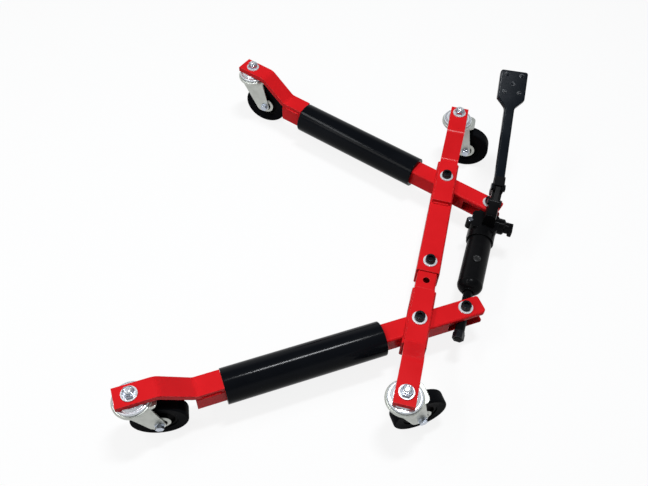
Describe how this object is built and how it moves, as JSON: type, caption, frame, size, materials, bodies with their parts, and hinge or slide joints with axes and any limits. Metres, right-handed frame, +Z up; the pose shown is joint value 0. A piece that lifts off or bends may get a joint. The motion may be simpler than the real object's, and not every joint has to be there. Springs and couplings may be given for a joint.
{
  "type": "vehicle positioning jack",
  "caption": "Low wheeled dolly with two swinging roller arms that a foot-pumped ram closes under a car tyre to lift it, on swivel casters.",
  "frame": {"origin": "on the floor under the middle of the overall box", "axes": "+Z up, +Y along the cross frame towards the foot pedal's end, +X from the open side between the arms towards the ram"},
  "size_m": [0.658, 0.8792, 0.2604],
  "materials": {
    "red_paint": "gloss red powder coat on steel",
    "black_gloss_paint": "gloss black coat on steel pipe",
    "black_paint": "satin black paint",
    "black_bolt": "black oxide steel",
    "zinc": "bright zinc plate",
    "tyre_rubber": "black solid rubber",
    "hub_plastic": "black moulded hub",
    "plug_rubber": "black rubber plug",
    "rod_chrome": "hard chrome",
    "spring_steel": "oiled spring steel",
    "bush_bronze": "sintered bronze"
  },
  "bodies": {
    "frame": {"frame_sleeve": "red_paint", "frame_slider": "red_paint", "near_bracket": "red_paint", "far_caster_bar": "red_paint", "near_caster_bar": "red_paint", "frame_bolts": "black_bolt", "frame_washers": "zinc", "frame_lock_nuts": "zinc", "frame_caster_stems": "zinc", "frame_stem_nuts": "zinc", "frame_upper_races": "zinc"},
    "far_arm": {"far_arm_tube": "red_paint", "far_arm_caster_bar": "red_paint", "far_arm_pivot_bush": "bush_bronze", "far_arm_tail_bolt": "black_bolt", "far_arm_tail_nut": "zinc", "far_arm_washers": "zinc", "far_arm_caster_stem": "zinc", "far_arm_stem_nut": "zinc", "far_arm_upper_race": "zinc"},
    "far_arm_roller": {"far_arm_roller": "black_gloss_paint"},
    "near_arm": {"near_arm_tube": "red_paint", "near_arm_caster_bar": "red_paint", "near_arm_pivot_bush": "bush_bronze", "near_arm_tail_bolt": "black_bolt", "near_arm_tail_nut": "zinc", "near_arm_washers": "zinc", "near_arm_caster_stem": "zinc", "near_arm_stem_nut": "zinc", "near_arm_upper_race": "zinc"},
    "near_arm_roller": {"near_arm_roller": "black_gloss_paint"},
    "far_arm_fork": {"far_arm_caster_fork": "zinc", "far_arm_caster_axle": "zinc"},
    "far_arm_wheel": {"far_arm_caster_tyre": "tyre_rubber", "far_arm_caster_hub": "hub_plastic"},
    "near_arm_fork": {"near_arm_caster_fork": "zinc", "near_arm_caster_axle": "zinc"},
    "near_arm_wheel": {"near_arm_caster_tyre": "tyre_rubber", "near_arm_caster_hub": "hub_plastic"},
    "far_frame_fork": {"far_frame_caster_fork": "zinc", "far_frame_caster_axle": "zinc"},
    "far_frame_wheel": {"far_frame_caster_tyre": "tyre_rubber", "far_frame_caster_hub": "hub_plastic"},
    "near_frame_fork": {"near_frame_caster_fork": "zinc", "near_frame_caster_axle": "zinc"},
    "near_frame_wheel": {"near_frame_caster_tyre": "tyre_rubber", "near_frame_caster_hub": "hub_plastic"},
    "ram": {"ram_cylinder": "black_paint", "filler_plug": "plug_rubber", "pump_block": "black_paint", "bleed_screw": "zinc", "pump_bolts": "black_bolt", "return_spring": "spring_steel"},
    "rod": {"ram_rod": "rod_chrome", "rod_nuts": "black_bolt"},
    "release_valve": {"release_valve": "black_paint"},
    "plunger": {"pump_plunger": "rod_chrome"},
    "pedal": {"pedal_fork": "black_paint", "pedal_lever": "black_paint"}
  },
  "joints": [
    {"name": "far_arm_swing", "type": "hinge", "parent": "frame", "child": "far_arm", "pos_m": [0.17905, 0.22944, 0.0665], "axis": [0, 0, 1], "range_deg": [0, 20]},
    {"name": "near_arm_swing", "type": "hinge", "parent": "frame", "child": "near_arm", "pos_m": [0.17905, -0.12557, 0.0665], "axis": [0, 0, 1], "range_deg": [-20, 0]},
    {"name": "ram_pivot", "type": "hinge", "parent": "far_arm", "child": "ram", "pos_m": [0.27509, 0.19362, 0.0665], "axis": [0, 0, 1], "range_deg": [-18.09, 0]},
    {"name": "ram_extend", "type": "slide", "parent": "ram", "child": "rod", "axis": [-0.0635, -0.998, 0], "range_m": [0, 0.06421]},
    {"name": "far_arm_roller_spin", "type": "hinge", "parent": "far_arm", "child": "far_arm_roller", "pos_m": [-0.00834, 0.29931, 0.0665], "axis": [-0.937, 0.3494, 0], "continuous": true},
    {"name": "near_arm_roller_spin", "type": "hinge", "parent": "near_arm", "child": "near_arm_roller", "pos_m": [0.01259, -0.23642, 0.0665], "axis": [-0.8323, -0.5543, 0], "continuous": true},
    {"name": "far_arm_swivel", "type": "hinge", "parent": "far_arm", "child": "far_arm_fork", "pos_m": [-0.29599, 0.40658, 0.111], "axis": [0, 0, 1], "continuous": true},
    {"name": "far_arm_wheel_spin", "type": "hinge", "parent": "far_arm_fork", "child": "far_arm_wheel", "pos_m": [-0.26268, 0.40307, 0.0485], "axis": [0.1045, 0.9945, 0], "continuous": true},
    {"name": "near_arm_swivel", "type": "hinge", "parent": "near_arm", "child": "near_arm_fork", "pos_m": [-0.24294, -0.40658, 0.111], "axis": [0, 0, 1], "continuous": true},
    {"name": "near_arm_wheel_spin", "type": "hinge", "parent": "near_arm_fork", "child": "near_arm_wheel", "pos_m": [-0.21195, -0.39386, 0.0485], "axis": [-0.3795, 0.9252, 0], "continuous": true},
    {"name": "far_frame_swivel", "type": "hinge", "parent": "frame", "child": "far_frame_fork", "pos_m": [0.17905, 0.38544, 0.111], "axis": [0, 0, 1], "continuous": true},
    {"name": "far_frame_wheel_spin", "type": "hinge", "parent": "far_frame_fork", "child": "far_frame_wheel", "pos_m": [0.21255, 0.38573, 0.0485], "axis": [-0.0087, 1, 0], "continuous": true},
    {"name": "near_frame_swivel", "type": "hinge", "parent": "frame", "child": "near_frame_fork", "pos_m": [0.17905, -0.29157, 0.111], "axis": [0, 0, 1], "continuous": true},
    {"name": "near_frame_wheel_spin", "type": "hinge", "parent": "near_frame_fork", "child": "near_frame_wheel", "pos_m": [0.20715, -0.27332, 0.0485], "axis": [-0.5446, 0.8387, 0], "continuous": true},
    {"name": "release_turn", "type": "hinge", "parent": "ram", "child": "release_valve", "pos_m": [0.31233, 0.14416, 0.0765], "axis": [0.998, -0.0635, 0], "range_deg": [-180, 180]},
    {"name": "pedal_press", "type": "hinge", "parent": "ram", "child": "pedal", "pos_m": [0.28075, 0.18805, 0.1405], "axis": [-0.998, -0.0628, 0], "range_deg": [0, 27], "stiffness_Nm_per_rad": 6, "springref_deg": -34.38},
    {"name": "plunger_slide", "type": "slide", "parent": "ram", "child": "plunger", "axis": [-0.0635, -0.998, 0], "range_m": [0, 0.01533], "deforming": ["return_spring"]}
  ],
  "couplings": [
    {"joint": "near_arm_swing", "follows": "far_arm_swing", "ratio": -1},
    {"joint": "ram_pivot", "follows": "far_arm_swing", "ratio": -0.90427},
    {"joint": "ram_extend", "follows": "far_arm_swing", "m_per_rad": 0.18391},
    {"joint": "plunger_slide", "follows": "pedal_press", "m_per_rad": 0.0325}
  ]
}
